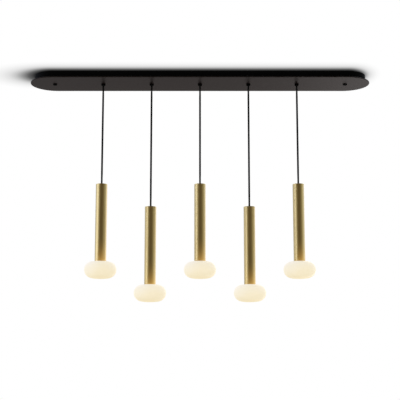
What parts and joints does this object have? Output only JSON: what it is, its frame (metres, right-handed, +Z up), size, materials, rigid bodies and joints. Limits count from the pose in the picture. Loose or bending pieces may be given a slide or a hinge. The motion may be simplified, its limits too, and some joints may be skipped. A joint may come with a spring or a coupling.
{
  "type": "linear island pendant",
  "caption": "Linear island pendant light: a long stadium-shaped ceiling canopy with a row of slim brass tube pendants on black cords, each with a flattened opal glass globe, at two heights.",
  "frame": {"origin": "middle of the canopy's ceiling face", "axes": "+X along the row of pendants, +Z up, into the ceiling, +Y across the canopy, away from the viewer"},
  "size_m": [1.05, 0.15, 0.7005],
  "materials": {
    "canopy_coat": "fine matt dark bronze powder coat",
    "black_fitting": "satin black",
    "zinc_steel": "zinc plated",
    "grommet_rubber": "matt",
    "block_plastic": "plain moulded",
    "lead_sheath": "silicone sheath",
    "cord_textile": "black braided textile",
    "tube_brass": "satin brushed, lacquered",
    "clamp_brass": "turned",
    "carrier_metal": "turned",
    "holder_ceramic": "glazed ceramic",
    "lamp_body": "frosted capsule",
    "opal_glass": "opal, satin"
  },
  "bodies": {
    "root": {"ceiling_tray": "canopy_coat", "cover_plate": "canopy_coat", "cover_screws": "black_fitting", "screw_posts": "zinc_steel", "supply_grommet": "grommet_rubber", "terminal_block": "block_plastic", "earth_stud": "zinc_steel", "cord_grips": "black_fitting", "grip_nuts": "zinc_steel", "cord_stops": "zinc_steel", "canopy_leads": "lead_sheath"},
    "hanging_cord_1": {"cord_1": "cord_textile"},
    "cord_end_1": {"cord_clamp_1": "clamp_brass"},
    "pendant_1": {"tube_cap_1": "tube_brass", "tube_1": "tube_brass", "inner_lead_1": "lead_sheath", "globe_carrier_1": "carrier_metal", "lamp_holder_1": "holder_ceramic"},
    "glass_1": {"globe_1": "opal_glass"},
    "capsule_1": {"lamp_1": "lamp_body"},
    "hanging_cord_2": {"cord_2": "cord_textile"},
    "cord_end_2": {"cord_clamp_2": "clamp_brass"},
    "pendant_2": {"tube_cap_2": "tube_brass", "tube_2": "tube_brass", "inner_lead_2": "lead_sheath", "globe_carrier_2": "carrier_metal", "lamp_holder_2": "holder_ceramic"},
    "glass_2": {"globe_2": "opal_glass"},
    "capsule_2": {"lamp_2": "lamp_body"},
    "hanging_cord_3": {"cord_3": "cord_textile"},
    "cord_end_3": {"cord_clamp_3": "clamp_brass"},
    "pendant_3": {"tube_cap_3": "tube_brass", "tube_3": "tube_brass", "inner_lead_3": "lead_sheath", "globe_carrier_3": "carrier_metal", "lamp_holder_3": "holder_ceramic"},
    "glass_3": {"globe_3": "opal_glass"},
    "capsule_3": {"lamp_3": "lamp_body"},
    "hanging_cord_4": {"cord_4": "cord_textile"},
    "cord_end_4": {"cord_clamp_4": "clamp_brass"},
    "pendant_4": {"tube_cap_4": "tube_brass", "tube_4": "tube_brass", "inner_lead_4": "lead_sheath", "globe_carrier_4": "carrier_metal", "lamp_holder_4": "holder_ceramic"},
    "glass_4": {"globe_4": "opal_glass"},
    "capsule_4": {"lamp_4": "lamp_body"},
    "hanging_cord_5": {"cord_5": "cord_textile"},
    "cord_end_5": {"cord_clamp_5": "clamp_brass"},
    "pendant_5": {"tube_cap_5": "tube_brass", "tube_5": "tube_brass", "inner_lead_5": "lead_sheath", "globe_carrier_5": "carrier_metal", "lamp_holder_5": "holder_ceramic"},
    "glass_5": {"globe_5": "opal_glass"},
    "capsule_5": {"lamp_5": "lamp_body"}
  },
  "joints": [
    {"name": "swing_1", "type": "hinge", "parent": "root", "child": "hanging_cord_1", "pos_m": [-0.3, 0, -0.025], "axis": [1, 0, 0], "range_deg": [-30, 30]},
    {"name": "height_1", "type": "slide", "parent": "hanging_cord_1", "child": "cord_end_1", "axis": [0, 0, 1], "range_m": [0, 0.2], "deforming": ["cord_1"]},
    {"name": "tilt_1", "type": "hinge", "parent": "cord_end_1", "child": "pendant_1", "pos_m": [-0.3, 0, -0.35], "axis": [0, 1, 0], "range_deg": [-10, 10]},
    {"name": "globe_off_1", "type": "slide", "parent": "pendant_1", "child": "glass_1", "axis": [0, 0, -1], "range_m": [0, 0.065]},
    {"name": "lamp_out_1", "type": "slide", "parent": "pendant_1", "child": "capsule_1", "axis": [0, 0, -1], "range_m": [0, 0.012]},
    {"name": "swing_2", "type": "hinge", "parent": "root", "child": "hanging_cord_2", "pos_m": [-0.15, 0, -0.025], "axis": [1, 0, 0], "range_deg": [-30, 30]},
    {"name": "height_2", "type": "slide", "parent": "hanging_cord_2", "child": "cord_end_2", "axis": [0, 0, 1], "range_m": [0, 0.2], "deforming": ["cord_2"]},
    {"name": "tilt_2", "type": "hinge", "parent": "cord_end_2", "child": "pendant_2", "pos_m": [-0.15, 0, -0.42], "axis": [0, 1, 0], "range_deg": [-10, 10]},
    {"name": "globe_off_2", "type": "slide", "parent": "pendant_2", "child": "glass_2", "axis": [0, 0, -1], "range_m": [0, 0.065]},
    {"name": "lamp_out_2", "type": "slide", "parent": "pendant_2", "child": "capsule_2", "axis": [0, 0, -1], "range_m": [0, 0.012]},
    {"name": "swing_3", "type": "hinge", "parent": "root", "child": "hanging_cord_3", "pos_m": [0, 0, -0.025], "axis": [1, 0, 0], "range_deg": [-30, 30]},
    {"name": "height_3", "type": "slide", "parent": "hanging_cord_3", "child": "cord_end_3", "axis": [0, 0, 1], "range_m": [0, 0.2], "deforming": ["cord_3"]},
    {"name": "tilt_3", "type": "hinge", "parent": "cord_end_3", "child": "pendant_3", "pos_m": [0, 0, -0.35], "axis": [0, 1, 0], "range_deg": [-10, 10]},
    {"name": "globe_off_3", "type": "slide", "parent": "pendant_3", "child": "glass_3", "axis": [0, 0, -1], "range_m": [0, 0.065]},
    {"name": "lamp_out_3", "type": "slide", "parent": "pendant_3", "child": "capsule_3", "axis": [0, 0, -1], "range_m": [0, 0.012]},
    {"name": "swing_4", "type": "hinge", "parent": "root", "child": "hanging_cord_4", "pos_m": [0.15, 0, -0.025], "axis": [1, 0, 0], "range_deg": [-30, 30]},
    {"name": "height_4", "type": "slide", "parent": "hanging_cord_4", "child": "cord_end_4", "axis": [0, 0, 1], "range_m": [0, 0.2], "deforming": ["cord_4"]},
    {"name": "tilt_4", "type": "hinge", "parent": "cord_end_4", "child": "pendant_4", "pos_m": [0.15, 0, -0.42], "axis": [0, 1, 0], "range_deg": [-10, 10]},
    {"name": "globe_off_4", "type": "slide", "parent": "pendant_4", "child": "glass_4", "axis": [0, 0, -1], "range_m": [0, 0.065]},
    {"name": "lamp_out_4", "type": "slide", "parent": "pendant_4", "child": "capsule_4", "axis": [0, 0, -1], "range_m": [0, 0.012]},
    {"name": "swing_5", "type": "hinge", "parent": "root", "child": "hanging_cord_5", "pos_m": [0.3, 0, -0.025], "axis": [1, 0, 0], "range_deg": [-30, 30]},
    {"name": "height_5", "type": "slide", "parent": "hanging_cord_5", "child": "cord_end_5", "axis": [0, 0, 1], "range_m": [0, 0.2], "deforming": ["cord_5"]},
    {"name": "tilt_5", "type": "hinge", "parent": "cord_end_5", "child": "pendant_5", "pos_m": [0.3, 0, -0.35], "axis": [0, 1, 0], "range_deg": [-10, 10]},
    {"name": "globe_off_5", "type": "slide", "parent": "pendant_5", "child": "glass_5", "axis": [0, 0, -1], "range_m": [0, 0.065]},
    {"name": "lamp_out_5", "type": "slide", "parent": "pendant_5", "child": "capsule_5", "axis": [0, 0, -1], "range_m": [0, 0.012]}
  ]
}
